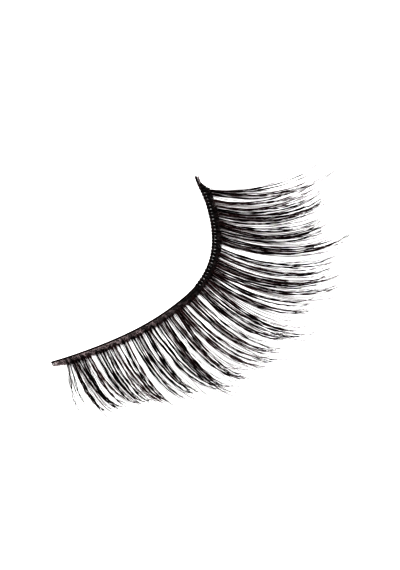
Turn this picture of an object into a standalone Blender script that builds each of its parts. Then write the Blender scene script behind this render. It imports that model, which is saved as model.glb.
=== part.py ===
"""A strip of false eyelashes that lies on its underside.

Metres, +Z up. X runs along the chord of the band, from the inner corner of the eye to the outer one,
and the lashes point to -Y and curl up. The middle of the outline is at the origin, on Z = 0.
"""

import math

import bmesh
import bpy
import numpy as np
from mathutils import Vector

MM = 0.001

# Band: a black edge cord, a woven web, a finer root cord, and the row of knotted roots on top of it
BAND_LENGTH = 33.0 * MM
EDGE_CORD_DIAMETER = 0.24 * MM
ROOT_CORD_DIAMETER = 0.18 * MM
WEB_WIDTH = 0.37 * MM
WEB_THICKNESS = 0.16 * MM
ROOT_ROW_WIDTH = 0.40 * MM
ROOT_ROW_THICKNESS = 0.18 * MM
PIECE_GAP = 0.02 * MM

# How the band bends in plan: the way it heads, in degrees from its chord, at shares of its length.
# The outer tail runs on a little past that length
BAND_BENDS = (
    # share, heading
    (0.00, -37.0),
    (0.25, -27.0),
    (0.50, -10.0),
    (0.75, 31.0),
    (0.98, 53.0),
    (1.02, 42.0),
)
TAIL_END = 1.02

# Bare tails: where the web and the row of roots begin and end, as shares of the band
WEB_START, WEB_END = 0.015, 0.985
ROOTS_START, ROOTS_END = 0.035, 0.965
INNER_TAIL_SPREAD = 0.38 * MM
OUTER_TAIL_MEETS = 0.992

# Stitch holes of the web, open to the edge cord, which show towards the outer corner
HOLE_PITCH = 0.45 * MM
HOLE_LENGTH = 0.22 * MM
HOLE_WIDTH = 0.18 * MM
HOLES_START, HOLES_END = 0.56, 0.965

# Lashes
LASH_LENGTH = 16.0 * MM
LOCK_WIDTH = 0.80 * MM
LOCK_THICKNESS = 0.17 * MM
LOCK_SIDES = 6
ROOT_SLOPE = -11.0
ROOT_END_THICKNESS = 0.90

# Width and thickness of a lock along its length, as shares of the lock's own width and of LOCK_THICKNESS.
# The end inside the row of roots is thinned by ROOT_END_THICKNESS
LOCK_TAPER = (
    # along, width, thickness
    (0.00, 0.80, 1.00),
    (0.12, 0.90, 1.00),
    (0.25, 0.95, 1.00),
    (0.38, 1.00, 1.00),
    (0.51, 0.95, 0.95),
    (0.64, 0.78, 0.85),
    (0.77, 0.54, 0.70),
    (0.89, 0.28, 0.50),
    (1.00, 0.08, 0.25),
)

# One row a lock, from the inner corner to the outer one: its root as a share of the band, its lean from
# square to the band towards the outer corner, its reach as a share of LASH_LENGTH, the slope of its tip,
# and its width as a share of LOCK_WIDTH
LOCKS = (
    # share, lean, reach, tip, width
    (0.043, -16.0, 0.62, 50.0, 0.30),
    (0.051, -11.0, 0.50, 45.0, 0.35),
    (0.060, -3.0, 0.62, 45.0, 0.55),
    (0.074, 3.0, 0.64, 42.0, 0.80),
    (0.094, -5.0, 0.58, 45.0, 0.60),
    (0.113, 0.0, 0.63, 44.0, 0.90),
    (0.144, -2.0, 0.66, 45.0, 1.00),
    (0.168, -6.0, 0.69, 46.0, 0.80),
    (0.187, -5.0, 0.69, 45.0, 0.90),
    (0.209, -4.0, 0.71, 40.0, 0.95),
    (0.239, -8.0, 0.76, 42.0, 1.00),
    (0.265, -6.0, 0.77, 41.0, 0.80),
    (0.288, -7.0, 0.78, 43.0, 1.00),
    (0.313, -10.0, 0.80, 43.0, 0.60),
    (0.335, -6.0, 0.93, 48.0, 1.00),
    (0.361, -9.0, 0.99, 51.0, 0.80),
    (0.387, -13.0, 0.86, 40.0, 0.75),
    (0.410, -10.0, 0.97, 49.0, 0.80),
    (0.437, -15.0, 0.98, 50.0, 0.60),
    (0.447, -8.0, 0.96, 48.0, 0.70),
    (0.463, -7.0, 0.97, 48.0, 0.90),
    (0.491, -7.0, 0.84, 42.0, 1.00),
    (0.513, -10.0, 0.94, 46.0, 0.90),
    (0.541, -13.0, 0.91, 50.0, 0.70),
    (0.558, -12.0, 1.12, 56.0, 0.80),
    (0.583, -18.0, 0.90, 44.0, 0.70),
    (0.595, -8.0, 0.83, 43.0, 0.90),
    (0.617, -11.5, 0.83, 48.0, 0.75),
    (0.629, -5.0, 1.03, 55.0, 0.75),
    (0.647, -8.0, 0.83, 49.0, 0.75),
    (0.667, -11.0, 0.93, 54.0, 0.80),
    (0.692, -15.0, 0.85, 50.0, 0.85),
    (0.712, -14.5, 0.86, 50.0, 0.80),
    (0.744, -14.5, 0.98, 58.0, 1.00),
    (0.760, -15.5, 0.86, 50.0, 0.65),
    (0.781, -15.5, 0.71, 46.0, 0.60),
    (0.803, -22.0, 0.75, 54.0, 0.50),
    (0.815, -17.0, 0.77, 51.0, 0.60),
    (0.838, -16.5, 0.73, 55.0, 0.85),
    (0.861, -18.5, 0.79, 54.0, 0.80),
    (0.878, -18.0, 0.76, 54.0, 1.00),
    (0.905, -18.5, 0.65, 49.0, 0.70),
    (0.937, -23.0, 0.90, 58.0, 0.90),
    (0.947, -16.5, 0.82, 51.0, 0.45),
)

# Fineness of the faceted surfaces
BAND_SAMPLES = 400
BAND_STATIONS = 56
CORD_BEVEL = 2

# Sizes and heights that follow from the ones above
EDGE_RADIUS = EDGE_CORD_DIAMETER / 2
ROOT_RADIUS = ROOT_CORD_DIAMETER / 2
WEB_INSIDE = EDGE_RADIUS + PIECE_GAP
HOLE_CUT_DEPTH = 3 * WEB_THICKNESS
ROOT_CORD_OFFSET = WEB_INSIDE + WEB_WIDTH + PIECE_GAP + ROOT_RADIUS
OUTER_TAIL_SPREAD = EDGE_RADIUS + 2 * PIECE_GAP + ROOT_RADIUS
ROOT_ROW_BOTTOM = max(ROOT_CORD_DIAMETER, WEB_THICKNESS) + PIECE_GAP
ROOT_ROW_MIDDLE = ROOT_ROW_BOTTOM + ROOT_ROW_THICKNESS / 2
ROOT_ROW_OUTSIDE = ROOT_CORD_OFFSET + ROOT_ROW_WIDTH / 2


def band_line():
    """Shares, points and headings along the edge cord, with the chord on X and its start at the origin."""
    shares = np.linspace(0.0, TAIL_END, BAND_SAMPLES + 1)
    table = np.array(BAND_BENDS)
    middles = (shares[1:] + shares[:-1]) / 2
    steps = np.radians(np.interp(middles, table[:, 0], table[:, 1]))
    line = np.zeros((BAND_SAMPLES + 1, 2))
    line[1:, 0] = np.cumsum(np.cos(steps))
    line[1:, 1] = np.cumsum(np.sin(steps))
    line *= TAIL_END * BAND_LENGTH / BAND_SAMPLES
    chord = math.atan2(line[-1, 1], line[-1, 0])
    cosine, sine = math.cos(-chord), math.sin(-chord)
    turned = line @ np.array(((cosine, sine), (-sine, cosine)))
    headings = np.radians(np.interp(shares, table[:, 0], table[:, 1])) - chord
    return shares, turned, headings


SHARES, LINE, HEADINGS = band_line()


def heading_at(share):
    return float(np.interp(share, SHARES, HEADINGS))


def square_at(share):
    """The way from the band to the lashes, square to the band."""
    heading = heading_at(share)
    return Vector((math.sin(heading), -math.cos(heading), 0.0))


def band_point(share, offset, height):
    """A point beside the edge cord's middle line, offset towards the lashes."""
    x = float(np.interp(share, SHARES, LINE[:, 0]))
    y = float(np.interp(share, SHARES, LINE[:, 1]))
    return Vector((x, y, height)) + square_at(share) * offset


def root_cord_offset(share):
    """The root cord runs beside the web and closes in on the edge cord along both bare tails."""
    shares = (0.0, ROOTS_START, ROOTS_END, OUTER_TAIL_MEETS, TAIL_END)
    offsets = (INNER_TAIL_SPREAD, ROOT_CORD_OFFSET, ROOT_CORD_OFFSET, OUTER_TAIL_SPREAD, OUTER_TAIL_SPREAD)
    return float(np.interp(share, shares, offsets))


def stations_between(start, end):
    """The shares at which every piece of the band bends, so that the gaps between them stay even."""
    even = np.linspace(0.0, TAIL_END, BAND_STATIONS)
    turns = (WEB_START, ROOTS_START, ROOTS_END, WEB_END, OUTER_TAIL_MEETS)
    shares = np.union1d(even, turns)
    return [float(share) for share in shares if start <= share <= end]


def material(name, colour, roughness):
    made = bpy.data.materials.new(name)
    made.use_nodes = True
    shader = made.node_tree.nodes["Principled BSDF"]
    shader.inputs["Base Color"].default_value = (*colour, 1.0)
    shader.inputs["Roughness"].default_value = roughness
    shader.inputs["Metallic"].default_value = 0.0
    return made


def mesh_object(name, mesh, collection):
    made = bpy.data.objects.new(name, mesh)
    collection.objects.link(made)
    return made


def cord(name, diameter, offset_of, collection, finish):
    """A round cord from one end of the band to the other, lying on Z = 0."""
    curve = bpy.data.curves.new(name, "CURVE")
    curve.dimensions = "3D"
    curve.bevel_depth = diameter / 2
    curve.bevel_resolution = CORD_BEVEL
    curve.use_fill_caps = True
    curve.twist_mode = "Z_UP"
    spline = curve.splines.new("POLY")
    shares = stations_between(0.0, TAIL_END)
    spline.points.add(len(shares) - 1)
    for share, point in zip(shares, spline.points):
        point.co = (*band_point(share, offset_of(share), diameter / 2), 1.0)
    curve.materials.append(finish)
    return mesh_object(name, curve, collection)


def ribbon(name, start, end, inside_of, outside_of, bottom, thickness, collection, finish):
    """A flat strip that follows the band between two offsets: a grid bent along it, with Solidify."""
    mesh = bpy.data.meshes.new(name)
    shape = bmesh.new()
    shares = stations_between(start, end)
    spans = len(shares) - 1
    bmesh.ops.create_grid(shape, x_segments=spans, y_segments=1, size=1.0)
    for vertex in shape.verts:
        share = shares[round(spans * (vertex.co.x + 1) / 2)]
        offset = inside_of(share) if vertex.co.y > 0 else outside_of(share)
        vertex.co = band_point(share, offset, bottom)
    shape.to_mesh(mesh)
    shape.free()
    mesh.materials.append(finish)
    made = mesh_object(name, mesh, collection)
    wall = made.modifiers.new("thickness", "SOLIDIFY")
    wall.thickness = thickness
    wall.offset = 1.0
    return made


def hole_cutter(collection):
    """A box for each stitch hole, all in one mesh."""
    mesh = bpy.data.meshes.new("web_holes")
    shape = bmesh.new()
    span = (HOLES_END - HOLES_START) * BAND_LENGTH
    count = int(span / HOLE_PITCH)
    middle = EDGE_RADIUS + PIECE_GAP / 2 + HOLE_WIDTH / 2
    for index in range(count):
        share = HOLES_START + (index + 0.5) * HOLE_PITCH / BAND_LENGTH
        box = bmesh.ops.create_cube(shape, size=1.0)["verts"]
        heading = heading_at(share)
        along = Vector((math.cos(heading), math.sin(heading), 0.0)) * HOLE_LENGTH
        across = square_at(share) * -HOLE_WIDTH
        through = Vector((0.0, 0.0, HOLE_CUT_DEPTH))
        centre = band_point(share, middle, WEB_THICKNESS / 2)
        for vertex in box:
            local = vertex.co.copy()
            vertex.co = centre + along * local.x + across * local.y + through * local.z
    shape.to_mesh(mesh)
    shape.free()
    made = mesh_object("web_holes", mesh, collection)
    made.hide_render = True
    made.display_type = "WIRE"
    return made


def lock_path(share, lean, reach, tip):
    """Points and slopes along one lock: level over the root row, then down to Z = 0 and up to its tip."""
    square = square_at(share)
    heading = heading_at(share)
    along = Vector((math.cos(heading), math.sin(heading), 0.0))
    way = square * math.cos(math.radians(lean)) + along * math.sin(math.radians(lean))
    length = reach * LASH_LENGTH
    point = band_point(share, ROOT_ROW_OUTSIDE, ROOT_ROW_MIDDLE)
    stations = [row[0] for row in LOCK_TAPER]
    path = [(point.copy(), math.radians(ROOT_SLOPE))]
    for before, after in zip(stations, stations[1:]):
        middle = math.radians(ROOT_SLOPE + (tip - ROOT_SLOPE) * (before + after) / 2)
        stretch = length * (after - before)
        point += way * (math.cos(middle) * stretch)
        point.z += math.sin(middle) * stretch
        slope = math.radians(ROOT_SLOPE + (tip - ROOT_SLOPE) * after)
        path.append((point.copy(), slope))
    return way, path


def lock_ring(shape, centre, way, slope, width, thickness):
    """A flat-bottomed ring across a lock, no lower than Z = 0."""
    side = Vector((way.y, -way.x, 0.0))
    up = Vector((0.0, 0.0, 1.0)) * math.cos(slope) - way * math.sin(slope)
    across = math.sin(2 * math.pi / LOCK_SIDES)
    ring = []
    lowest = thickness / 2 * math.cos(slope)
    middle = Vector((centre.x, centre.y, max(centre.z, lowest)))
    for index in range(LOCK_SIDES):
        angle = 2 * math.pi * index / LOCK_SIDES
        place = side * (math.cos(angle) * width / 2) + up * (math.sin(angle) / across * thickness / 2)
        ring.append(shape.verts.new(middle + place))
    return ring


def lock(number, share, lean, reach, tip, width, collection):
    """One tapered lock, lofted through its rings, with its root end inside the row of roots."""
    shape = bmesh.new()
    way, path = lock_path(share, lean, reach, tip)
    widest = width * LOCK_WIDTH
    root = band_point(share, ROOT_CORD_OFFSET, ROOT_ROW_MIDDLE)
    root_size = LOCK_TAPER[0][1] * widest, ROOT_END_THICKNESS * LOCK_THICKNESS
    rings = [lock_ring(shape, root, square_at(share), 0.0, *root_size)]
    for (point, slope), (_, width_share, thickness_share) in zip(path, LOCK_TAPER):
        size = width_share * widest, thickness_share * LOCK_THICKNESS
        rings.append(lock_ring(shape, point, way, slope, *size))
    for first, second in zip(rings, rings[1:]):
        for index in range(LOCK_SIDES):
            after = (index + 1) % LOCK_SIDES
            shape.faces.new((first[index], second[index], second[after], first[after]))
    shape.faces.new(rings[0])
    shape.faces.new(reversed(rings[-1]))
    bmesh.ops.recalc_face_normals(shape, faces=shape.faces)
    mesh = bpy.data.meshes.new(f"lock_{number:02d}")
    shape.to_mesh(mesh)
    shape.free()
    made = mesh_object(mesh.name, mesh, collection)
    made.hide_render = True
    made.display_type = "WIRE"
    return made


def clear_scene():
    for leftover in list(bpy.data.objects):
        bpy.data.objects.remove(leftover, do_unlink=True)


def centre_on_origin(anchor, outline):
    """Moves the whole strip so that the middle of its outline is above the origin."""
    bpy.context.view_layer.update()
    corners = [corner for piece in outline for corner in piece.bound_box]
    for axis in (0, 1):
        values = [corner[axis] for corner in corners]
        anchor.location[axis] = -(min(values) + max(values)) / 2


def main():
    clear_scene()
    strip = bpy.data.collections.new("false_eyelash_strip")
    cutters = bpy.data.collections.new("cutters")
    locks = bpy.data.collections.new("locks")
    for collection in (strip, cutters, locks):
        bpy.context.scene.collection.children.link(collection)

    black_cord = material("edge_cord", (0.012, 0.009, 0.009), 0.75)
    brown_cord = material("root_cord", (0.055, 0.042, 0.042), 0.80)
    web_cloth = material("woven_web", (0.070, 0.054, 0.054), 0.90)
    black_fibre = material("lash_fringe", (0.008, 0.006, 0.006), 0.40)

    edge = cord("edge_cord", EDGE_CORD_DIAMETER, lambda share: 0.0, strip, black_cord)
    root = cord("root_cord", ROOT_CORD_DIAMETER, root_cord_offset, strip, brown_cord)

    web = ribbon(
        "woven_web", WEB_START, WEB_END,
        lambda share: WEB_INSIDE,
        lambda share: root_cord_offset(share) - ROOT_RADIUS - PIECE_GAP,
        0.0, WEB_THICKNESS, strip, web_cloth,
    )
    holes = web.modifiers.new("stitch holes", "BOOLEAN")
    holes.operation = "DIFFERENCE"
    holes.solver = "EXACT"
    holes.object = hole_cutter(cutters)

    fringe = ribbon(
        "lash_fringe", ROOTS_START, ROOTS_END,
        lambda share: ROOT_CORD_OFFSET - ROOT_ROW_WIDTH / 2,
        lambda share: ROOT_ROW_OUTSIDE,
        ROOT_ROW_BOTTOM, ROOT_ROW_THICKNESS, strip, black_fibre,
    )
    for number, row in enumerate(LOCKS):
        lock(number, *row, locks)
    union = fringe.modifiers.new("locks", "BOOLEAN")
    union.operation = "UNION"
    union.solver = "EXACT"
    union.operand_type = "COLLECTION"
    union.collection = locks

    anchor = bpy.data.objects.new("strip_middle", None)
    strip.objects.link(anchor)
    for piece in list(strip.objects) + list(cutters.objects) + list(locks.objects):
        if piece is not anchor:
            piece.parent = anchor
    centre_on_origin(anchor, [edge, root, *locks.objects])


main()
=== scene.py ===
import math

import bpy
import numpy as np
from mathutils import Matrix, Vector


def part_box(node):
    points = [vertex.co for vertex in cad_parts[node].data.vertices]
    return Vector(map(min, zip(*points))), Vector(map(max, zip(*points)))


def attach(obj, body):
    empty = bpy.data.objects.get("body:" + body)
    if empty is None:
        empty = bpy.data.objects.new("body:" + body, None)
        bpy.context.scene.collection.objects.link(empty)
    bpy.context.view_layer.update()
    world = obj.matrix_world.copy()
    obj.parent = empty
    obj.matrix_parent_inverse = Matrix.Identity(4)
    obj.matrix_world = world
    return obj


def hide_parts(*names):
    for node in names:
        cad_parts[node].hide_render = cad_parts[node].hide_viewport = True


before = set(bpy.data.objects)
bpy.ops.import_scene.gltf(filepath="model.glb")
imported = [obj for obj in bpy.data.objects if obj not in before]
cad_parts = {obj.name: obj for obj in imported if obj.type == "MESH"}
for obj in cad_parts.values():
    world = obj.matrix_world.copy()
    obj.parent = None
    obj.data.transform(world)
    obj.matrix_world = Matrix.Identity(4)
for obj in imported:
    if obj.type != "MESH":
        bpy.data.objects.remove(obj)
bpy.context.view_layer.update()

bl_info = {
    "name": "False Eyelash Strip",
    "version": (1, 0, 0),
    "blender": (4, 5, 0),
    "location": "View3D > Sidebar > Lashes",
    "description": "Cords, weave, knots and single fibres of a false eyelash strip, with its studio",
    "category": "Object",
}

MM = 0.001
BODY = "root"

# The band's bends and the locks, as the frame has them

# How the band heads, in degrees from its chord, at shares of its length
BAND_BENDS = (
    # share, heading
    (0.00, -37.0),
    (0.25, -27.0),
    (0.50, -10.0),
    (0.75, 31.0),
    (0.98, 53.0),
    (1.02, 42.0),
)
TAIL_END = 1.02
WEB_END = 0.985
ROOTS_START, ROOTS_END = 0.035, 0.965
OUTER_TAIL_MEETS = 0.992
HOLES_START = 0.56
ROOT_SLOPE = -11.0

# One row a lock, from the inner corner to the outer one: its root along the band, its lean towards the
# outer corner, its reach as a share of the lash length, the slope of its tip, its width as a share of the
# widest, how full of fibres it is, and how far along its dark bunch reaches
LOCKS = (
    # share, lean, reach, tip, width, fill, bunch
    (0.043, -16.0, 0.62, 50.0, 0.30, 0.3, 0.60),
    (0.051, -11.0, 0.50, 45.0, 0.35, 0.4, 0.60),
    (0.060, -3.0, 0.62, 45.0, 0.55, 0.9, 0.80),
    (0.074, 3.0, 0.64, 42.0, 0.80, 1.1, 0.85),
    (0.094, -5.0, 0.58, 45.0, 0.60, 1.0, 0.85),
    (0.113, 0.0, 0.63, 44.0, 0.90, 1.0, 0.80),
    (0.144, -2.0, 0.66, 45.0, 1.00, 1.0, 0.80),
    (0.168, -6.0, 0.69, 46.0, 0.80, 0.9, 0.80),
    (0.187, -5.0, 0.69, 45.0, 0.90, 1.0, 0.80),
    (0.209, -4.0, 0.71, 40.0, 0.95, 1.1, 0.85),
    (0.239, -8.0, 0.76, 42.0, 1.00, 1.1, 0.85),
    (0.265, -6.0, 0.77, 41.0, 0.80, 0.7, 0.80),
    (0.288, -7.0, 0.78, 43.0, 1.00, 1.1, 0.85),
    (0.313, -10.0, 0.80, 43.0, 0.60, 0.7, 0.75),
    (0.335, -6.0, 0.93, 48.0, 1.00, 1.1, 0.75),
    (0.361, -9.0, 0.99, 51.0, 0.80, 0.8, 0.72),
    (0.387, -13.0, 0.86, 40.0, 0.75, 0.6, 0.80),
    (0.410, -10.0, 0.97, 49.0, 0.80, 0.8, 0.80),
    (0.437, -15.0, 0.98, 50.0, 0.60, 0.6, 0.82),
    (0.447, -8.0, 0.96, 48.0, 0.70, 0.9, 0.78),
    (0.463, -7.0, 0.97, 48.0, 0.90, 1.1, 0.82),
    (0.491, -7.0, 0.84, 42.0, 1.00, 1.1, 0.85),
    (0.513, -10.0, 0.94, 46.0, 0.90, 1.0, 0.80),
    (0.541, -13.0, 0.91, 50.0, 0.70, 0.9, 0.85),
    (0.558, -12.0, 1.12, 56.0, 0.80, 1.1, 0.82),
    (0.583, -18.0, 0.90, 44.0, 0.70, 0.9, 0.82),
    (0.595, -8.0, 0.83, 43.0, 0.90, 1.1, 0.80),
    (0.617, -11.5, 0.83, 48.0, 0.75, 1.0, 0.82),
    (0.629, -5.0, 1.03, 55.0, 0.75, 1.0, 0.80),
    (0.647, -8.0, 0.83, 49.0, 0.75, 1.1, 0.82),
    (0.667, -11.0, 0.93, 54.0, 0.80, 1.1, 0.78),
    (0.692, -15.0, 0.85, 50.0, 0.85, 1.1, 0.78),
    (0.712, -14.5, 0.86, 50.0, 0.80, 1.1, 0.78),
    (0.744, -14.5, 0.98, 58.0, 1.00, 1.2, 0.76),
    (0.760, -15.5, 0.86, 50.0, 0.65, 0.9, 0.75),
    (0.781, -15.5, 0.71, 46.0, 0.60, 1.0, 0.85),
    (0.803, -22.0, 0.75, 54.0, 0.50, 0.8, 0.85),
    (0.815, -17.0, 0.77, 51.0, 0.60, 0.8, 0.80),
    (0.838, -16.5, 0.73, 55.0, 0.85, 1.1, 0.82),
    (0.861, -18.5, 0.79, 54.0, 0.80, 1.0, 0.80),
    (0.878, -18.0, 0.76, 54.0, 1.00, 1.2, 0.82),
    (0.905, -18.5, 0.65, 49.0, 0.70, 1.0, 0.85),
    (0.937, -23.0, 0.90, 58.0, 0.90, 1.1, 0.65),
    (0.947, -16.5, 0.82, 51.0, 0.45, 0.6, 0.75),
)

# The locks of each lash piece, by their row in the table
LASH_PIECES = (
    ("lashes_inner", 0, 14),
    ("lashes_middle", 14, 29),
    ("lashes_outer", 29, 44),
)

# The photograph's frame, and where the band's inner end stands in it
PHOTO_WIDTH, PHOTO_HEIGHT = 400, 570
BAND_START_X, BAND_START_Y = 51.3, 362.6
PIXELS_PER_MM = 9.87
VIEW_AZIMUTH, VIEW_ELEVATION, VIEW_ROLL = -62.25, 50.0, 3.0


class StripSizes(bpy.types.PropertyGroup):
    band_length: bpy.props.FloatProperty(
        name="Band length", description="Length of the band along its bend",
        default=33.0 * MM, unit="LENGTH", precision=5)
    edge_cord: bpy.props.FloatProperty(
        name="Edge cord", description="Diameter of the black cord on the inside of the bend",
        default=0.24 * MM, unit="LENGTH", precision=5)
    root_cord: bpy.props.FloatProperty(
        name="Root cord", description="Diameter of the finer cord that the fibres are knotted on",
        default=0.18 * MM, unit="LENGTH", precision=5)
    web_width: bpy.props.FloatProperty(
        name="Web width", description="Width of the weave between the two cords",
        default=0.37 * MM, unit="LENGTH", precision=5)
    root_row: bpy.props.FloatProperty(
        name="Root row", description="Width of the row of knots on the root cord",
        default=0.40 * MM, unit="LENGTH", precision=5)
    gap: bpy.props.FloatProperty(
        name="Gap", description="Clearance between the cords and the web",
        default=0.02 * MM, unit="LENGTH", precision=5)
    hole_pitch: bpy.props.FloatProperty(
        name="Hole pitch", description="Distance between the stitch holes of the web",
        default=0.45 * MM, unit="LENGTH", precision=5)
    inner_tail: bpy.props.FloatProperty(
        name="Inner tail", description="How far apart the two cords end at the inner corner",
        default=0.38 * MM, unit="LENGTH", precision=5)


class LashSizes(bpy.types.PropertyGroup):
    length: bpy.props.FloatProperty(
        name="Lash length", description="Length along the curl that the locks' reach is a share of",
        default=16.0 * MM, unit="LENGTH", precision=5)
    lock_width: bpy.props.FloatProperty(
        name="Lock width", description="Width of the widest lock",
        default=0.80 * MM, unit="LENGTH", precision=5)
    fibre: bpy.props.FloatProperty(
        name="Fibre", description="Diameter of a fibre near its root",
        default=0.100 * MM, unit="LENGTH", precision=6)
    strand_pitch: bpy.props.FloatProperty(
        name="Strand pitch", description="Distance between the strands of a lock at its root",
        default=0.34 * MM, unit="LENGTH", precision=6)


class StripFinish(bpy.types.PropertyGroup):
    black: bpy.props.FloatVectorProperty(
        name="Black fibre", description="Main colour of the lashes", subtype="COLOR",
        size=3, default=(0.0022, 0.0018, 0.0018), min=0.0, max=1.0)
    brown: bpy.props.FloatVectorProperty(
        name="Brown fibre", description="Colour of the fibres that show brown", subtype="COLOR",
        size=3, default=(0.055, 0.030, 0.030), min=0.0, max=1.0)
    weave: bpy.props.FloatVectorProperty(
        name="Weave", description="Grey-brown thread of the web and the knots", subtype="COLOR",
        size=3, default=(0.250, 0.205, 0.207), min=0.0, max=1.0)
    weave_dark: bpy.props.FloatVectorProperty(
        name="Dark weave", description="Dark thread of the web and the knots", subtype="COLOR",
        size=3, default=(0.007, 0.0055, 0.0055), min=0.0, max=1.0)
    floor: bpy.props.FloatVectorProperty(
        name="Floor", description="Colour of the floor", subtype="COLOR",
        size=3, default=(0.94, 0.94, 0.94), min=0.0, max=1.0)


def sizes():
    return bpy.context.scene.strip_sizes


def lash_sizes():
    return bpy.context.scene.lash_sizes


def finish():
    return bpy.context.scene.strip_finish


# Band geometry


class Band:
    """The edge cord's middle line, laid where the frame's edge cord lies."""

    SAMPLES = 400
    ROW_THICKNESS = 0.18 * MM

    def __init__(self):
        size = sizes()
        self.edge_radius = size.edge_cord / 2
        self.root_radius = size.root_cord / 2
        self.web_inside = self.edge_radius + size.gap
        self.root_offset = self.web_inside + size.web_width + size.gap + self.root_radius
        self.outer_tail = self.edge_radius + 2 * size.gap + self.root_radius
        self.row_bottom = size.root_cord + size.gap
        self.row_middle = self.row_bottom + self.ROW_THICKNESS / 2
        self.row_outside = self.root_offset + size.root_row / 2
        self.lay_line(size)

    def lay_line(self, size):
        table = np.array(BAND_BENDS)
        self.shares = np.linspace(0.0, TAIL_END, self.SAMPLES + 1)
        middles = (self.shares[1:] + self.shares[:-1]) / 2
        steps = np.radians(np.interp(middles, table[:, 0], table[:, 1]))
        line = np.zeros((self.SAMPLES + 1, 2))
        line[1:, 0] = np.cumsum(np.cos(steps))
        line[1:, 1] = np.cumsum(np.sin(steps))
        line *= TAIL_END * size.band_length / self.SAMPLES
        chord = math.atan2(line[-1, 1], line[-1, 0])
        cosine, sine = math.cos(-chord), math.sin(-chord)
        line = line @ np.array(((cosine, sine), (-sine, cosine)))
        self.headings = np.radians(np.interp(self.shares, table[:, 0], table[:, 1])) - chord
        square = np.stack((np.sin(self.headings), -np.cos(self.headings)), axis=1)
        edges = np.concatenate((line + square * self.edge_radius, line - square * self.edge_radius))
        low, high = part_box("edge_cord")
        wanted = np.array(((low[0] + high[0]) / 2, (low[1] + high[1]) / 2))
        self.line = line + wanted - (edges.min(axis=0) + edges.max(axis=0)) / 2

    def heading(self, share):
        return np.interp(share, self.shares, self.headings)

    def square(self, share):
        heading = self.heading(share)
        return np.stack((np.sin(heading), -np.cos(heading), np.zeros_like(heading)), axis=-1)

    def along(self, share):
        heading = self.heading(share)
        return np.stack((np.cos(heading), np.sin(heading), np.zeros_like(heading)), axis=-1)

    def point(self, share, offset, height):
        share = np.asarray(share, dtype=float)
        x = np.interp(share, self.shares, self.line[:, 0])
        y = np.interp(share, self.shares, self.line[:, 1])
        spot = np.stack((x, y, np.zeros_like(x)), axis=-1)
        spot = spot + self.square(share) * np.asarray(offset)[..., None]
        spot[..., 2] = height
        return spot

    def root_cord_offset(self, share):
        shares = (0.0, ROOTS_START, ROOTS_END, OUTER_TAIL_MEETS, TAIL_END)
        inner, outer = sizes().inner_tail, self.outer_tail
        return np.interp(share, shares, (inner, self.root_offset, self.root_offset, outer, outer))


# Meshes made from arrays


def mesh_piece(name, points, faces, tints, material):
    """One mesh object from arrays, with a tint for each point."""
    mesh = bpy.data.meshes.new(name)
    mesh.from_pydata(points, [], faces)
    colours = mesh.color_attributes.new("tint", "FLOAT_COLOR", "POINT")
    colours.data.foreach_set("color", np.asarray(tints, dtype=np.float32).ravel())
    mesh.shade_smooth()
    mesh.materials.append(material)
    piece = bpy.data.objects.new(name, mesh)
    bpy.context.scene.collection.objects.link(piece)
    return piece


def tube_arrays(paths, radii, sides):
    """Points and faces of closed round tubes. paths is (tubes, stations, 3), radii (tubes, stations)."""
    tubes, stations = radii.shape
    tangents = np.gradient(paths, axis=1)
    tangents /= np.linalg.norm(tangents, axis=2, keepdims=True)
    up = np.zeros_like(tangents)
    up[..., 2] = 1.0
    side = np.cross(tangents, up)
    side /= np.linalg.norm(side, axis=2, keepdims=True)
    top = np.cross(side, tangents)
    angles = np.arange(sides) * 2 * math.pi / sides
    rings = (
        paths[:, :, None, :]
        + radii[:, :, None, None] * (
            np.cos(angles)[None, None, :, None] * side[:, :, None, :]
            + np.sin(angles)[None, None, :, None] * top[:, :, None, :]
        )
    )
    ends = np.stack((paths[:, 0], paths[:, -1]), axis=1)
    block = stations * sides + 2
    points = np.concatenate((rings.reshape(tubes, stations * sides, 3), ends), axis=1)
    ring = np.arange(sides)
    after = (ring + 1) % sides
    rows = np.arange(stations - 1)[:, None] * sides
    quads = np.stack((rows + ring, rows + sides + ring, rows + sides + after, rows + after), axis=2)
    quads = quads.reshape(-1, 4)
    last = (stations - 1) * sides
    root_cap = np.stack((ring, after, np.full(sides, block - 2)), axis=1)
    tip_cap = np.stack((last + after, last + ring, np.full(sides, block - 1)), axis=1)
    starts = np.arange(tubes)[:, None, None] * block
    all_quads = (quads[None] + starts).reshape(-1, 4)
    all_caps = (np.concatenate((root_cap, tip_cap))[None] + starts).reshape(-1, 3)
    return points.reshape(-1, 3), all_quads.tolist() + all_caps.tolist(), block


def tube_piece(name, paths, radii, tints, sides, material):
    """One mesh of many tubes, each with its own tint."""
    points, faces, block = tube_arrays(paths, radii, sides)
    spread = np.repeat(np.asarray(tints), block, axis=0)
    return mesh_piece(name, points, faces, spread, material)


def grey_tint(value):
    value = np.asarray(value, dtype=float)
    return np.stack((value, value, value, np.ones_like(value)), axis=-1)


def hand_over(piece, slot, *nodes):
    """Rides on the strip's body and stands for the nodes; its slot is not used."""
    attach(piece, BODY)
    if nodes:
        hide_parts(*nodes)


# Materials

# Where along the band the ground weave turns from grey-brown to dark
WEB_DARKENS = (0.30, 0.50)


def new_material(name):
    """A material with its Principled shader and a way to add and join nodes."""
    made = bpy.data.materials.new(name)
    made.use_nodes = True
    tree = made.node_tree
    shader = tree.nodes["Principled BSDF"]

    def node(kind, **values):
        added = tree.nodes.new(kind)
        for key, value in values.items():
            if key in added.inputs:
                added.inputs[key].default_value = value
            else:
                setattr(added, key, value)
        return added

    return made, tree.links.new, node, shader


def mapped(node, link, source, taken, given):
    """A value mapped from the range that it is taken over to the range that is given out."""
    spread = node("ShaderNodeMapRange")
    for key, value in zip(("From Min", "From Max", "To Min", "To Max"), (*taken, *given)):
        spread.inputs[key].default_value = value
    link(source, spread.inputs["Value"])
    return spread.outputs["Result"]


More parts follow.
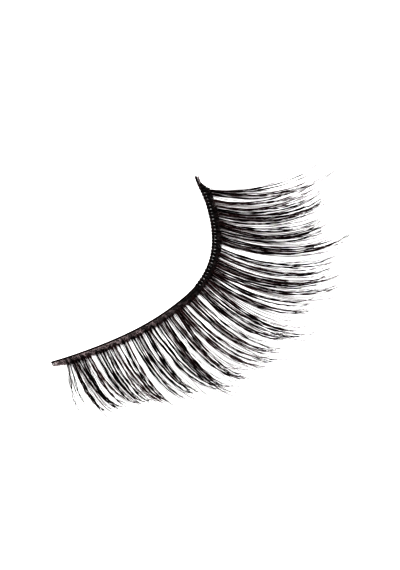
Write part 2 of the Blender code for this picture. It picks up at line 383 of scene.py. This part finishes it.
def mix_colours(node, link, share, first, second):
    """A colour mix of two sockets or two colours."""
    mix = node("ShaderNodeMix", data_type="RGBA")
    link(share, mix.inputs[0])
    for socket, value in ((mix.inputs[6], first), (mix.inputs[7], second)):
        if isinstance(value, bpy.types.NodeSocket):
            link(value, socket)
        else:
            socket.default_value = (*value, 1.0)
    return mix.outputs[2]


def fibre_material():
    """Synthetic hair: black and brown fibres, with fine streaks along them and a soft sheen."""
    made, link, node, shader = new_material("lash_fibre")
    tint = node("ShaderNodeAttribute", attribute_name="tint")
    where = node("ShaderNodeTexCoord")
    noise = node("ShaderNodeTexNoise", Scale=1800.0, Detail=3.0, Roughness=0.6)
    link(where.outputs["Object"], noise.inputs["Vector"])
    streaks = mapped(node, link, noise.outputs["Fac"], (0.35, 0.75), (-0.15, 0.10))
    total = node("ShaderNodeMath", operation="ADD", use_clamp=True)
    link(tint.outputs["Fac"], total.inputs[0])
    link(streaks, total.inputs[1])
    colour = mix_colours(node, link, total.outputs[0], tuple(finish().black), tuple(finish().brown))
    link(colour, shader.inputs["Base Color"])
    rough = mapped(node, link, noise.outputs["Fac"], (0.0, 1.0), (0.38, 0.55))
    link(rough, shader.inputs["Roughness"])
    bump = node("ShaderNodeBump", Strength=0.15, Distance=0.00001)
    link(noise.outputs["Fac"], bump.inputs["Height"])
    link(bump.outputs["Normal"], shader.inputs["Normal"])
    shader.inputs["Specular IOR Level"].default_value = 0.02
    return made


def thread_material(name, light, dark, sheen):
    """Spun thread: its tint runs from dark to light, with fine fuzz and slubs."""
    made, link, node, shader = new_material(name)
    tint = node("ShaderNodeAttribute", attribute_name="tint")
    where = node("ShaderNodeTexCoord")
    fine = node("ShaderNodeTexNoise", Scale=9000.0, Detail=4.0, Roughness=0.65)
    broad = node("ShaderNodeTexNoise", Scale=1600.0, Detail=2.0)
    link(where.outputs["Object"], fine.inputs["Vector"])
    link(where.outputs["Object"], broad.inputs["Vector"])
    slubs = mapped(node, link, broad.outputs["Fac"], (0.3, 0.7), (-0.22, 0.22))
    total = node("ShaderNodeMath", operation="ADD", use_clamp=True)
    link(tint.outputs["Fac"], total.inputs[0])
    link(slubs, total.inputs[1])
    colour = mix_colours(node, link, total.outputs[0], dark, light)
    link(colour, shader.inputs["Base Color"])
    rough = mapped(node, link, fine.outputs["Fac"], (0.0, 1.0), (0.70, 0.95))
    link(rough, shader.inputs["Roughness"])
    bump = node("ShaderNodeBump", Strength=0.5, Distance=0.00002)
    link(fine.outputs["Fac"], bump.inputs["Height"])
    link(bump.outputs["Normal"], shader.inputs["Normal"])
    shader.inputs["Specular IOR Level"].default_value = 0.12
    shader.inputs["Sheen Weight"].default_value = sheen
    shader.inputs["Sheen Roughness"].default_value = 0.5
    return made


def web_material(band):
    """Ground weave: crossed threads in grey-brown, darkening towards the outer corner."""
    made, link, node, shader = new_material("web_ground")
    where = node("ShaderNodeTexCoord")
    turned = node("ShaderNodeMapping")
    turned.inputs["Rotation"].default_value = (0.0, 0.0, math.radians(45.0))
    link(where.outputs["Object"], turned.inputs["Vector"])
    waves = []
    for direction in ("X", "Y"):
        wave = node("ShaderNodeTexWave", Scale=3200.0, Distortion=1.5, bands_direction=direction)
        wave.inputs["Detail"].default_value = 1.0
        link(turned.outputs["Vector"], wave.inputs["Vector"])
        waves.append(wave)
    weave = node("ShaderNodeMath", operation="MULTIPLY")
    link(waves[0].outputs["Fac"], weave.inputs[0])
    link(waves[1].outputs["Fac"], weave.inputs[1])
    split = node("ShaderNodeSeparateXYZ")
    link(where.outputs["Object"], split.inputs["Vector"])
    darkens = [float(band.point(share, 0.0, 0.0)[0]) for share in WEB_DARKENS]
    fade = mapped(node, link, split.outputs["X"], darkens, (0.0, 1.0))
    lit = mix_colours(node, link, weave.outputs[0], tuple(finish().weave_dark), tuple(finish().weave))
    colour = mix_colours(node, link, fade, lit, tuple(finish().weave_dark))
    link(colour, shader.inputs["Base Color"])
    bump = node("ShaderNodeBump", Strength=0.6, Distance=0.00003)
    link(weave.outputs[0], bump.inputs["Height"])
    link(bump.outputs["Normal"], shader.inputs["Normal"])
    shader.inputs["Roughness"].default_value = 0.9
    shader.inputs["Specular IOR Level"].default_value = 0.1
    return made


def paper_material():
    """The plain pale floor, with a faint tooth."""
    made, link, node, shader = new_material("pale_floor")
    where = node("ShaderNodeTexCoord")
    noise = node("ShaderNodeTexNoise", Scale=900.0, Detail=3.0)
    link(where.outputs["Object"], noise.inputs["Vector"])
    bump = node("ShaderNodeBump", Strength=0.02, Distance=0.00002)
    link(noise.outputs["Fac"], bump.inputs["Height"])
    link(bump.outputs["Normal"], shader.inputs["Normal"])
    shader.inputs["Base Color"].default_value = (*finish().floor, 1.0)
    shader.inputs["Roughness"].default_value = 0.9
    shader.inputs["Specular IOR Level"].default_value = 0.0
    return made


# Cords and weave

# A ply's radius as a share of its cord's, its radius at the cut ends as a share of its own, and how finely
# it is drawn
PLY_SHARE = 0.56
PLY_END = 0.7
PLY_SIDES = 7
STATIONS_A_TURN = 14

# How light the thread of the weave is along the band: grey-brown at first, and black past the middle
THREAD_LIGHT = (
    # share, light
    (0.00, 0.85),
    (0.25, 0.80),
    (0.40, 0.45),
    (0.52, -0.10),
    (0.97, -0.06),
    (1.00, 0.50),
)


def twisted_cord(name, band, radius, offset_of, pitch, tints, material):
    """A cord of one ply a tint, wound round its middle line and closed at both ends."""
    plies = len(tints)
    stations = int(sizes().band_length / pitch * STATIONS_A_TURN)
    share = np.linspace(0.0, TAIL_END, stations)
    ply_radius = radius * PLY_SHARE
    swing = radius - ply_radius
    offset = offset_of(share)
    turn = share * sizes().band_length / pitch * 2 * math.pi
    paths = []
    for ply in range(plies):
        angle = turn + ply * 2 * math.pi / plies
        paths.append(band.point(share, offset + np.cos(angle) * swing, radius + np.sin(angle) * swing))
    radii = np.full((plies, stations), ply_radius)
    radii[:, 0] *= PLY_END
    radii[:, -1] *= PLY_END
    return tube_piece(name, np.array(paths), radii, grey_tint(tints), PLY_SIDES, material)


def knot_shape(sides, thread, steps):
    """One knot of unit reach: a round of thread spun over half a turn, with both its ends downwards."""
    bpy.ops.object.select_all(action="DESELECT")
    bpy.ops.mesh.primitive_circle_add(
        vertices=sides, radius=thread, fill_type="NGON", location=(1.0, 0.0, 0.0))
    ring = bpy.context.object
    bpy.ops.object.transform_apply(location=True, rotation=True, scale=True)
    bpy.ops.object.mode_set(mode="EDIT")
    bpy.ops.mesh.select_all(action="SELECT")
    bpy.ops.mesh.spin(steps=steps, angle=math.pi, center=(0.0, 0.0, 0.0), axis=(0.0, 1.0, 0.0))
    bpy.ops.mesh.select_all(action="SELECT")
    bpy.ops.mesh.remove_doubles(threshold=0.0001)
    bpy.ops.mesh.normals_make_consistent(inside=False)
    bpy.ops.object.mode_set(mode="OBJECT")
    return ring


def taken_arrays(shape):
    """The points and faces of a modelled shape, which is then removed."""
    mesh = shape.data
    points = np.array([vertex.co for vertex in mesh.vertices])
    faces = [list(face.vertices) for face in mesh.polygons]
    bpy.data.objects.remove(shape)
    bpy.data.meshes.remove(mesh)
    return points, faces


def copies_piece(name, shape, places, tints, material):
    """Copies of one shape at the given 3 by 4 places, joined as one mesh."""
    points, faces = shape
    count = len(points)
    all_points, all_faces = [], []
    for index, place in enumerate(places):
        all_points.append(points @ place[:, :3].T + place[:, 3])
        start = index * count
        all_faces.extend([start + corner for corner in face] for face in faces)
    spread = np.repeat(grey_tint(tints), count, axis=0)
    return mesh_piece(name, np.concatenate(all_points), all_faces, spread, material)


def thread_light(share):
    table = np.array(THREAD_LIGHT)
    return float(np.interp(share, table[:, 0], table[:, 1]))


class LASHES_OT_cords(bpy.types.Operator):
    """Twists the black edge cord and the finer root cord"""

    bl_idname = "lashes.cords"
    bl_label = "Cords"

    # The length of one turn of each cord, and a tint for each of its plies
    EDGE_TURN, ROOT_TURN = 0.62 * MM, 0.50 * MM
    EDGE_PLIES = (0.10, 0.25, 0.15)
    ROOT_PLIES = (0.45, 0.75)

    def execute(self, context):
        band = Band()
        look = finish()
        black = thread_material("edge_thread", tuple(look.brown), tuple(look.black), sheen=0.0)
        edge = twisted_cord(
            "edge_cord_twist", band, band.edge_radius, lambda share: np.zeros_like(share),
            self.EDGE_TURN, self.EDGE_PLIES, black)
        hand_over(edge, "edge_cord", "edge_cord")
        brown = thread_material("root_thread", tuple(look.weave), tuple(look.weave_dark), sheen=0.1)
        root = twisted_cord(
            "root_cord_twist", band, band.root_radius, band.root_cord_offset,
            self.ROOT_TURN, self.ROOT_PLIES, brown)
        hand_over(root, "root_cord", "root_cord")
        return {"FINISHED"}


class LASHES_OT_web(bpy.types.Operator):
    """Gives the web its ground weave and its crossing stitches, which leave the stitch holes open"""

    bl_idname = "lashes.web"
    bl_label = "Web"

    SEED = 5
    PITCH = 0.225 * MM
    # The thread's radius, how far a stitch that leans outwards lifts over one that leans inwards as a share
    # of it, and its sides
    THREAD = 0.040 * MM
    CROSSING = 0.6
    SIDES = 5
    # The stitches start past the inner end and leave room before the holes
    MARGIN = 0.004
    WANDER = 0.0006
    TINTS = (0.15, 0.5, 0.9, 1.3)
    # How far each stitch of a group leans along the band, in MM
    INNER_LEANS = (-0.13, 0.13)
    BAR_LEANS = (-0.07, 0.0, 0.07)
    # A stitch beside the holes, from under the edge cord, over it and the web, to the root cord
    BAR_PROFILE = (
        # offset as a share of the root cord's, height in MM
        (-0.21, 0.08),
        (-0.19, 0.18),
        (-0.07, 0.265),
        (0.10, 0.265),
        (0.25, 0.21),
        (0.60, 0.20),
        (0.95, 0.19),
    )
    # A stitch of the inner part, from the edge cord over the web to the root cord
    INNER_PROFILE = (
        # offset as a share of the root cord's, height in MM
        (0.22, 0.17),
        (0.27, 0.20),
        (0.35, 0.21),
        (0.45, 0.21),
        (0.55, 0.21),
        (0.75, 0.20),
        (0.95, 0.19),
    )
    # The points at the edge cord, which keep their offset where the root cord draws in
    AT_EDGE = 3

    def execute(self, context):
        band = Band()
        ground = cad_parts["woven_web"]
        ground.data.materials.clear()
        ground.data.materials.append(web_material(band))
        look = finish()
        material = thread_material("web_thread", tuple(look.weave), tuple(look.weave_dark), sheen=0.1)
        random = np.random.default_rng(self.SEED)
        length = sizes().band_length
        inner = np.arange(self.MARGIN, HOLES_START - self.MARGIN, self.PITCH / length)
        bars = np.arange(HOLES_START, WEB_END, sizes().hole_pitch / length)
        paths, tints = [], []
        for places, leans in ((inner, self.INNER_LEANS), (bars, self.BAR_LEANS)):
            for lean in leans:
                for share in places:
                    paths.append(self.stitch(band, share, lean * MM / length, random))
                    tints.append(thread_light(share) * random.choice(self.TINTS))
        radii = np.full((len(paths), len(self.BAR_PROFILE)), self.THREAD)
        stitches = tube_piece(
            "web_stitches", np.array(paths), radii, grey_tint(tints), self.SIDES, material)
        hand_over(stitches, "woven_web")
        return {"FINISHED"}

    def stitch(self, band, share, lean, random):
        profile = np.array(self.INNER_PROFILE if share < HOLES_START else self.BAR_PROFILE)
        shares = share + lean * np.linspace(-1.0, 1.0, len(profile)) + random.normal(0, self.WANDER)
        offsets = profile[:, 0] * band.root_cord_offset(share)
        offsets[:self.AT_EDGE] = profile[:self.AT_EDGE, 0] * band.root_offset
        heights = profile[:, 1] * MM
        if lean > 0:
            heights[self.AT_EDGE:] += self.THREAD * self.CROSSING
        return band.point(shares, offsets, heights)


class LASHES_OT_knots(bpy.types.Operator):
    """Ties the row of knots that holds the fibres on the root cord"""

    bl_idname = "lashes.knots"
    bl_label = "Root knots"

    SEED = 11
    PITCH = 0.20 * MM
    SIDES, STEPS = 6, 8
    # The thread's radius as a share of a knot's reach
    THREAD = 0.30
    # Every other knot leans the other way, in radians, with a random part
    LEAN, LEAN_SPREAD = 0.25, 0.35
    # How high a knot stands on the cord, its own height and breadth, and how much each knot differs
    FOOT = 0.06 * MM
    RISE, RISES = 0.27 * MM, (0.9, 1.1)
    BREADTH, BREADTHS = 0.17 * MM, (0.8, 1.1)
    REACHES = (0.82, 1.0)
    TINTS = (0.0, 0.3, 0.8, 1.2)

    def execute(self, context):
        band = Band()
        look = finish()
        shape = taken_arrays(knot_shape(self.SIDES, self.THREAD, self.STEPS))
        random = np.random.default_rng(self.SEED)
        upward = np.array((0.0, 0.0, 1.0))
        places, tints = [], []
        count = int((ROOTS_END - ROOTS_START) * sizes().band_length / self.PITCH)
        for index in range(count):
            share = ROOTS_START + (index + 0.5) * self.PITCH / sizes().band_length
            lean = random.uniform(-self.LEAN_SPREAD, self.LEAN_SPREAD)
            lean += self.LEAN if index % 2 else -self.LEAN
            across = band.square(share) * math.cos(lean) + band.along(share) * math.sin(lean)
            half = (sizes().root_row / 2) * random.uniform(*self.REACHES)
            rise = self.RISE * random.uniform(*self.RISES)
            breadth = self.BREADTH * random.uniform(*self.BREADTHS)
            foot = band.point(share, band.root_offset, self.FOOT)
            axes = np.stack((across * half, np.cross(upward, across) * breadth, upward * rise), axis=1)
            places.append(np.column_stack((axes, foot)))
            tints.append(thread_light(share) * random.choice(self.TINTS))
        material = thread_material("knot_thread", tuple(look.weave), tuple(look.weave_dark), sheen=0.15)
        knots = copies_piece("root_knots", shape, places, tints, material)
        hand_over(knots, "lash_fringe", "lash_fringe")
        return {"FINISHED"}


# Lashes


def smooth(value, low, high):
    share = np.clip((value - low) / (high - low), 0.0, 1.0)
    return share * share * (3 - 2 * share)


class LockPath:
    """The middle line of one lock: level over the root row, down to the floor, then up to its tip."""

    FINE = 120
    # How far back from the root cord a fibre starts, as a share of the row's width
    ROOTED = 0.42

    def __init__(self, band, share, lean, reach, tip):
        lean = math.radians(lean)
        self.way = band.square(share) * math.cos(lean) + band.along(share) * math.sin(lean)
        self.side = np.cross(self.way, np.array((0.0, 0.0, 1.0)))
        self.start = band.point(share, band.row_outside, band.row_middle)
        self.root = band.point(share, band.root_offset - sizes().root_row * self.ROOTED, band.row_middle)
        self.length = reach * lash_sizes().length
        self.shares = np.linspace(0.0, 1.0, self.FINE + 1)
        middles = (self.shares[1:] + self.shares[:-1]) / 2
        slopes = np.radians(ROOT_SLOPE + (tip - ROOT_SLOPE) * middles)
        self.out = np.concatenate(((0.0,), np.cumsum(np.cos(slopes)))) * self.length / self.FINE
        self.rise = np.concatenate(((0.0,), np.cumsum(np.sin(slopes)))) * self.length / self.FINE

    def points(self, share, sideways, lift, radius):
        """Points at shares of the length, pushed sideways and up, and never through the floor."""
        out = np.interp(share, self.shares, self.out)
        rise = np.interp(share, self.shares, self.rise)
        spots = self.start + out[..., None] * self.way + sideways[..., None] * self.side
        spots[..., 2] = np.maximum(self.start[2] + rise + lift, np.maximum(lift, 0.0) + radius)
        return spots


# How finely a fibre is drawn
STATIONS = 30
SIDES = 5
# A lock with less fill than this has bare fibres and no tufts
THIN_FILL = 0.5
# The locks up to this share of the band stand in closer clumps
CLUMPED_TO = 0.34
# From this share of the band on, the fibres leave the roots more gradually
GRADUAL_FROM = 0.5

# Strands and tufts: how the number of strands follows from the lock's fill, how many fibres a strand has and
# how often one more, how wide a lock has to be for two tufts, and how the strands of a tuft draw together
STRANDS_LEAST, STRANDS_FOR_FILL = 0.3, 0.6
FIBRES, MORE_FIBRES = 2, 0.65
TWO_TUFTS_FROM = 0.75
TUFT_PLACES, TUFT_WANDER = (-0.55, 0.55), 0.04
TUFT_APART, CLUMP_APART = (0.5, 1.4), 0.85
STRAND_WANDER = 0.08

# Roots: how far a strand's fibres stand apart there in strand pitches, and how they are drawn in, lifted and
# thinned where they are knotted
ROOT_SPREAD, ROOT_WANDER = 0.20, 0.04
ROOT_DRAWN_IN, ROOT_LIFTED, ROOT_THINNED = 0.9, 0.5, 0.9

# Where along a lock each change starts and ends, as shares of its length
LEAVES_ROOTS, LEAVES_GRADUALLY = (0.0, 0.05), (0.0, 0.12)
GATHERS = (0.10, 0.55)
FANS = (0.58, 1.05)
TWISTS = (0.03, 0.20)
STRANDS_PART = (0.15, 0.9)
DASHES_START = (0.12, 0.30)
TAPERS, STRAY_TAPERS = (0.65, 1.0), (0.6, 1.0)
# Under 1, the stations of a fibre are a little closer together towards its tip
STATION_POWER = 0.95

# Ends: a third of the fibres are the longest ones, and finer than the others
TUFT_ENDS = (0.88, 1.12)
END_WANDER = 0.10
LONGEST_ONE_IN, LONGEST_ENDS, LONGEST_RADIUS = 3, (0.92, 1.06), 0.8
ENDS = (0.35, 1.06)
LIFT, LIFTS, LIFT_LOST = 0.085 * MM, (-0.6, 1.0), 0.4
RADII, THIN_RADIUS = (0.8, 1.15), 0.85

# Twist: how many radians a strand turns for each share of its reach, and how wide it swings in fibres
TURNS, TURN_WANDER = (16.0, 26.0), 0.5
SWINGS = (0.35, 1.05)

# How far single fibres and whole strands stray sideways by the tips
FIBRE_STRAYS, STRAND_STRAYS = 0.14 * MM, 0.13 * MM

# A fibre is thick and thin by turns: how fast, how much thicker, how far down from there, and between which
# heights of the wave it changes
BEATS = (22.0, 40.0)
DASH_SWELL, DASH_DEPTH = 0.30, 0.80
DASH_WAVE = (-0.4, 0.2)
TIP_TAPER = 0.42

# How many strands show brown, and the tints of brown and of black fibres
BROWN_STRANDS = 0.20
BROWN_TINTS, BLACK_TINTS = (0.2, 0.8), (0.0, 0.05)

# Stray hairs beside a thin lock, a clumped one and any other, and how they differ from their lock
STRAYS_THIN, STRAYS_CLUMPED, STRAYS = 2, 5, 9
STRAY_SHARE, STRAY_LEAN, STRAY_TIP = 0.006, 3.0, 3.0
STRAY_REACHES = (0.90, 1.15)
STRAY_RADII = (0.28, 0.52)
STRAY_TAPER = 0.2
STRAY_TINTS = (0.3, 1.0)
STRAY_LIFT = 0.05 * MM

# The seeds of the first lock's fibres and stray hairs
FIBRE_SEED, STRAY_SEED = 100, 500


def lock_fibres(band, number, row):
    """Paths, radii and tints of the fibres of one lock, which run in strands that gather into tufts."""
    share, lean, reach, tip, width, fill, bunch = row
    random = np.random.default_rng(FIBRE_SEED + number)
    path = LockPath(band, share, lean, reach, tip)
    wide = width * lash_sizes().lock_width
    half = wide / 2
    pitch = lash_sizes().strand_pitch
    fibre = lash_sizes().fibre
    thin = fill < THIN_FILL
    clumped = share < CLUMPED_TO
    full = int(round(wide / pitch * (STRANDS_LEAST + STRANDS_FOR_FILL * fill)))
    strands = 1 if thin else max(2, full)
    each = np.full(strands, FIBRES)
    if not thin:
        each = FIBRES + clumped + (random.random(strands) < MORE_FIBRES)
    strand = np.repeat(np.arange(strands), each)
    place = np.concatenate([np.linspace(-1.0, 1.0, fibres) for fibres in each])
    count = len(strand)

    # The strands of a tuft draw together where it is densest
    tufts = 1 if width < TWO_TUFTS_FROM else 2
    tuft = np.minimum(np.arange(strands) * tufts // strands, tufts - 1)
    middle = np.array((0.0,) if tufts == 1 else TUFT_PLACES) * half
    middle = middle + random.normal(0, TUFT_WANDER, tufts) * half
    rank = np.arange(strands) - np.array([np.flatnonzero(tuft == which).mean() for which in tuft])
    apart = random.uniform(*TUFT_APART, tufts)[tuft] * (CLUMP_APART if clumped else 1.0)
    dense = middle[tuft] + rank * apart * pitch + random.normal(0, STRAND_WANDER, strands) * pitch
    tuft_end = bunch * random.uniform(*TUFT_ENDS, tufts)

    strand_side = (np.arange(strands) + 0.5 - strands / 2) * 2 * half / strands
    strand_side += random.normal(0, STRAND_WANDER, strands) * pitch
    root_side = strand_side[strand] + place * ROOT_SPREAD * pitch
    root_side += random.normal(0, ROOT_WANDER, count) * pitch
    end = tuft_end[tuft][strand] + random.normal(0, END_WANDER, count)
    longest = random.choice(count, size=max(2, count // LONGEST_ONE_IN), replace=False)
    end[longest] = random.uniform(*LONGEST_ENDS, len(longest))
    end = np.clip(end, *ENDS)
    lift = random.uniform(*LIFTS, count) * LIFT
    radius = fibre / 2 * random.uniform(*RADII, count) * (THIN_RADIUS if thin else 1.0)
    radius[longest] *= LONGEST_RADIUS

    steps = np.linspace(0.0, 1.0, STATIONS - 1) ** STATION_POWER
    along = end[:, None] * steps[None, :]
    bunched = smooth(along, *(LEAVES_GRADUALLY if share >= GRADUAL_FROM else LEAVES_ROOTS))
    gather = smooth(along, *GATHERS)
    fan = smooth(along, *FANS)

    # The fibres of a strand part and cross as it turns, which leaves slits of light in it
    phase = random.uniform(0, 2 * math.pi, strands)[strand] + random.normal(0, TURN_WANDER, count)
    turns = random.uniform(*TURNS, strands)[strand] * reach
    swing = fibre * random.uniform(*SWINGS, strands)[strand]
    swing = swing[:, None] * smooth(along, *TWISTS)
    twisted = place[:, None] * swing * np.cos(phase[:, None] + along * turns[:, None])
    line = strand_side[strand][:, None] * (1 - gather) + dense[strand][:, None] * gather
    away = random.normal(0, FIBRE_STRAYS, count)[:, None] * fan
    away += random.normal(0, STRAND_STRAYS, strands)[strand][:, None] * smooth(along, *STRANDS_PART)
    sideways = root_side[:, None] * (1 - bunched) + (line + twisted + away) * bunched
    lifts = lift[:, None] * (1 - LIFT_LOST * along)
    body = path.points(along, sideways, lifts, radius[:, None] * (1 + DASH_SWELL))
    roots = path.root + root_side[:, None] * ROOT_DRAWN_IN * band.along(share)
    roots[:, 2] += lift * ROOT_LIFTED
    paths = np.concatenate((roots[:, None, :], body), axis=1)

    # A fibre is thick and thin by turns, which breaks its line into dashes past the roots
    beat = random.uniform(0, 2 * math.pi, count)[:, None]
    beat = beat + along * random.uniform(*BEATS, count)[:, None]
    dashed = 0.0 if thin else smooth(along, *DASHES_START)
    dashes = 1.0 + dashed * (DASH_SWELL - DASH_DEPTH * smooth(np.cos(beat), *DASH_WAVE))
    taper = 1.0 - TIP_TAPER * smooth(steps, *TAPERS)
    radii = np.column_stack((radius * ROOT_THINNED, radius[:, None] * dashes * taper[None, :]))
    brown = random.random(strands)[strand] < BROWN_STRANDS
    tints = np.where(brown, random.uniform(*BROWN_TINTS, count), random.uniform(*BLACK_TINTS, count))
    return paths, radii, tints


def stray_fibres(band, number, row):
    """Thin pale hairs beside one lock, some of which lean away from it or outreach it."""
    share, lean, reach, tip, width, fill, _ = row
    random = np.random.default_rng(STRAY_SEED + number)
    count = STRAYS_CLUMPED if share < CLUMPED_TO else STRAYS
    if fill < THIN_FILL:
        count = STRAYS_THIN
    paths, radii, tints = [], [], []
    for _ in range(count):
        path = LockPath(
            band, share + random.normal(0, STRAY_SHARE), lean + random.normal(0, STRAY_LEAN),
            reach * random.uniform(*STRAY_REACHES), tip + random.normal(0, STRAY_TIP))
        half = width * lash_sizes().lock_width / 2
        steps = np.linspace(0.0, 1.0, STATIONS - 1)
        side = random.uniform(-1.0, 1.0) * half * np.ones(STATIONS - 1)
        radius = lash_sizes().fibre / 2 * random.uniform(*STRAY_RADII)
        body = path.points(steps, side, np.full(STATIONS - 1, STRAY_LIFT), radius)
        paths.append(np.concatenate((path.root[None, :], body)))
        taper = 1.0 - STRAY_TAPER * smooth(steps, *STRAY_TAPERS)
        radii.append(radius * np.concatenate(((1.0,), taper)))
        tints.append(random.uniform(*STRAY_TINTS))
    return np.array(paths), np.array(radii), np.array(tints)


def joined_fibres(name, maker, rows, band, material):
    """One piece of what the maker gives for each of these locks."""
    made = [maker(band, number, LOCKS[number]) for number in rows]
    paths, radii, tints = (np.concatenate(part) for part in zip(*made))
    return tube_piece(name, paths, radii, grey_tint(tints), SIDES, material)


class LASHES_OT_lashes(bpy.types.Operator):
    """Lays the fibres of every lock, in three pieces from the inner corner to the outer one"""

    bl_idname = "lashes.lashes"
    bl_label = "Lashes"

    def execute(self, context):
        band = Band()
        material = fibre_material()
        for name, first, last in LASH_PIECES:
            piece = joined_fibres(name, lock_fibres, range(first, last), band, material)
            hand_over(piece, "lash_fringe", "lash_fringe")
        return {"FINISHED"}


class LASHES_OT_strays(bpy.types.Operator):
    """Adds the thin pale hairs between and beyond the locks"""

    bl_idname = "lashes.strays"
    bl_label = "Stray hairs"

    def execute(self, context):
        piece = joined_fibres(
            "stray_hairs", stray_fibres, range(len(LOCKS)), Band(), bpy.data.materials["lash_fibre"])
        hand_over(piece, "lash_fringe", "lash_fringe")
        return {"FINISHED"}


# Studio


def camera_axes():
    """Right, up and forward of the photograph's camera."""
    azimuth, elevation, roll = map(math.radians, (VIEW_AZIMUTH, VIEW_ELEVATION, VIEW_ROLL))
    back = Vector((
        math.sin(azimuth) * math.cos(elevation),
        -math.cos(azimuth) * math.cos(elevation),
        math.sin(elevation),
    ))
    right = Vector((math.cos(azimuth), math.sin(azimuth), 0.0))
    up = back.cross(right)
    rolled_right = right * math.cos(roll) + up * math.sin(roll)
    rolled_up = up * math.cos(roll) - right * math.sin(roll)
    return rolled_right, rolled_up, -back


class LASHES_OT_stage(bpy.types.Operator):
    """Lays the floor, hangs the soft lights and sets the camera"""

    bl_idname = "lashes.stage"
    bl_label = "Stage"

    DISTANCE = 0.9
    SENSOR = 36.0
    FLOOR_SIZE = 3.0
    WORLD_LIGHT = 1.35
    SOFTBOX_SIZE = 0.5
    SOFTBOX_POWER = 0.9
    SOFTBOX_PLACE = (-0.25, 0.25, 0.55)
    CLIPS = (0.01, 10.0)

    def execute(self, context):
        self.lay_floor()
        self.set_world(context.scene)
        self.hang_light()
        self.set_camera(context.scene)
        return {"FINISHED"}

    def lay_floor(self):
        bpy.ops.object.select_all(action="DESELECT")
        bpy.ops.mesh.primitive_plane_add(size=self.FLOOR_SIZE, location=(0.0, 0.0, 0.0))
        floor = bpy.context.object
        floor.name = "floor"
        floor.data.materials.append(paper_material())

    def set_world(self, scene):
        world = bpy.data.worlds.new("soft_studio")
        world.use_nodes = True
        ground = world.node_tree.nodes["Background"]
        ground.inputs["Color"].default_value = (1.0, 1.0, 1.0, 1.0)
        ground.inputs["Strength"].default_value = self.WORLD_LIGHT
        scene.world = world
        scene.view_settings.view_transform = "Standard"
        scene.view_settings.look = "Very High Contrast"

    def hang_light(self):
        lamp = bpy.data.lights.new("softbox", "AREA")
        lamp.size = self.SOFTBOX_SIZE
        lamp.energy = self.SOFTBOX_POWER
        hung = bpy.data.objects.new("softbox", lamp)
        hung.location = self.SOFTBOX_PLACE
        hung.rotation_euler = (-Vector(hung.location)).to_track_quat("-Z", "Y").to_euler()
        bpy.context.scene.collection.objects.link(hung)

    def set_camera(self, scene):
        right, up, forward = camera_axes()
        pixel = MM / PIXELS_PER_MM
        start = Vector(Band().point(0.0, 0.0, sizes().edge_cord / 2))
        aim = start + right * (PHOTO_WIDTH / 2 - BAND_START_X) * pixel
        aim += up * (BAND_START_Y - PHOTO_HEIGHT / 2) * pixel
        lens = bpy.data.cameras.new("camera")
        lens.sensor_width = self.SENSOR
        lens.lens = self.SENSOR * self.DISTANCE / (PHOTO_HEIGHT * pixel)
        lens.clip_start, lens.clip_end = self.CLIPS
        camera = bpy.data.objects.new("camera", lens)
        camera.matrix_world = Matrix.Translation(aim - forward * self.DISTANCE) @ Matrix(
            (right, up, -forward)).transposed().to_4x4()
        scene.collection.objects.link(camera)
        scene.camera = camera


class LASHES_PT_panel(bpy.types.Panel):
    bl_idname = "LASHES_PT_panel"
    bl_label = "False Eyelash Strip"
    bl_space_type = "VIEW_3D"
    bl_region_type = "UI"
    bl_category = "Lashes"

    def draw(self, context):
        for group in (context.scene.strip_sizes, context.scene.lash_sizes, context.scene.strip_finish):
            box = self.layout.box()
            for name in group.__annotations__:
                box.prop(group, name)
        for operator in OPERATORS:
            self.layout.operator(operator.bl_idname)


OPERATORS = (
    LASHES_OT_cords,
    LASHES_OT_web,
    LASHES_OT_knots,
    LASHES_OT_lashes,
    LASHES_OT_strays,
    LASHES_OT_stage,
)
GROUPS = (StripSizes, LashSizes, StripFinish)


def register():
    for made in (*GROUPS, *OPERATORS, LASHES_PT_panel):
        bpy.utils.register_class(made)
    bpy.types.Scene.strip_sizes = bpy.props.PointerProperty(type=StripSizes)
    bpy.types.Scene.lash_sizes = bpy.props.PointerProperty(type=LashSizes)
    bpy.types.Scene.strip_finish = bpy.props.PointerProperty(type=StripFinish)


def unregister():
    del bpy.types.Scene.strip_finish
    del bpy.types.Scene.lash_sizes
    del bpy.types.Scene.strip_sizes
    for made in reversed((*GROUPS, *OPERATORS, LASHES_PT_panel)):
        bpy.utils.unregister_class(made)


def main():
    register()
    bpy.ops.lashes.cords()
    bpy.ops.lashes.web()
    bpy.ops.lashes.knots()
    bpy.ops.lashes.lashes()
    bpy.ops.lashes.strays()
    bpy.ops.lashes.stage()


if __name__ == "__main__":
    main()
